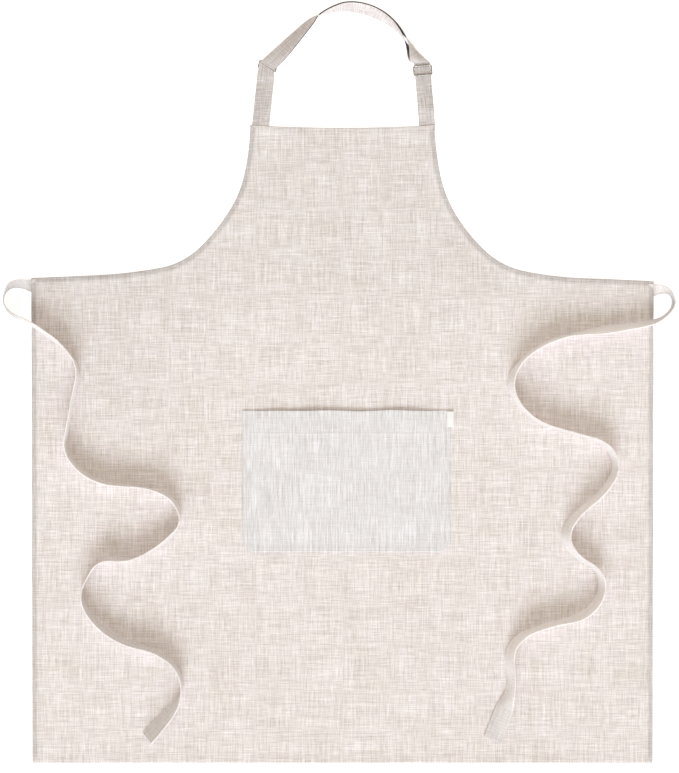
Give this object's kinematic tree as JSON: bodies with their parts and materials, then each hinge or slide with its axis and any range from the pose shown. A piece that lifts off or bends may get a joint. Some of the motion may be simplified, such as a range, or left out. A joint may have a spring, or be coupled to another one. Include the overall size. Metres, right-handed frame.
{
  "type": "bib apron",
  "caption": "Linen bib apron with a patch pocket, waist ties and an adjustable neck loop with ring and slider, lying flat.",
  "frame": {"origin": "under the middle of the sewn apron without its free waist ties, on the surface that it lies on", "axes": "+X across the apron to the right as seen from its front, +Y from the bottom hem towards the neck, +Z out of the front face"},
  "size_m": [0.9023, 1.0239, 0.0274],
  "materials": {
    "panel_linen": "oatmeal linen, plain weave with slubs, matt",
    "pocket_linen": "oatmeal linen, cooler and paler, slubs running up and down, matt",
    "tape_linen": "oatmeal linen folded into straps, matt",
    "sewing_thread": "twisted sewing thread in the cloth's colour",
    "dark_nickel": "dark nickel-plated wire, satin",
    "woven_label": "plain white satin ribbon, blank"
  },
  "bodies": {
    "apron": {"bib_top_hem": "panel_linen", "bib_top_stitching": "sewing_thread", "bottom_hem": "panel_linen", "bottom_stitching": "sewing_thread", "front_panel": "panel_linen", "left_armhole_hem": "panel_linen", "left_armhole_stitching": "sewing_thread", "left_side_hem": "panel_linen", "left_side_stitching": "sewing_thread", "left_tab_foot": "tape_linen", "left_tie_end_hem": "tape_linen", "left_waist_tie": "tape_linen", "pocket_hem_stitching": "sewing_thread", "pocket_panel": "pocket_linen", "pocket_stitching": "sewing_thread", "pocket_top_hem": "pocket_linen", "right_armhole_hem": "panel_linen", "right_armhole_stitching": "sewing_thread", "right_side_hem": "panel_linen", "right_side_stitching": "sewing_thread", "right_strap_foot": "tape_linen", "right_tie_end_hem": "tape_linen", "right_waist_tie": "tape_linen"},
    "neck_loop": {"left_neck_tab": "tape_linen", "neck_ring": "dark_nickel", "neck_strap": "tape_linen", "neck_strap_return": "tape_linen"},
    "slider": {"slider_frame": "dark_nickel", "slider_bar": "dark_nickel", "strap_end_loop": "tape_linen"},
    "label": {"pocket_label": "woven_label"}
  },
  "joints": [
    {"name": "neck_loop_lift", "type": "hinge", "parent": "apron", "child": "neck_loop", "pos_m": [0, 0.35, 0.0009], "axis": [1, 0, 0], "range_deg": [0, 90]},
    {"name": "slider_travel", "type": "slide", "parent": "neck_loop", "child": "slider", "axis": [0.0838, -0.9965, 0], "range_m": [0, 0.04]},
    {"name": "label_flip", "type": "hinge", "parent": "apron", "child": "label", "pos_m": [0.1455, -0.0368, 0.0036], "axis": [-1, 0, 0], "range_deg": [0, 120]}
  ]
}
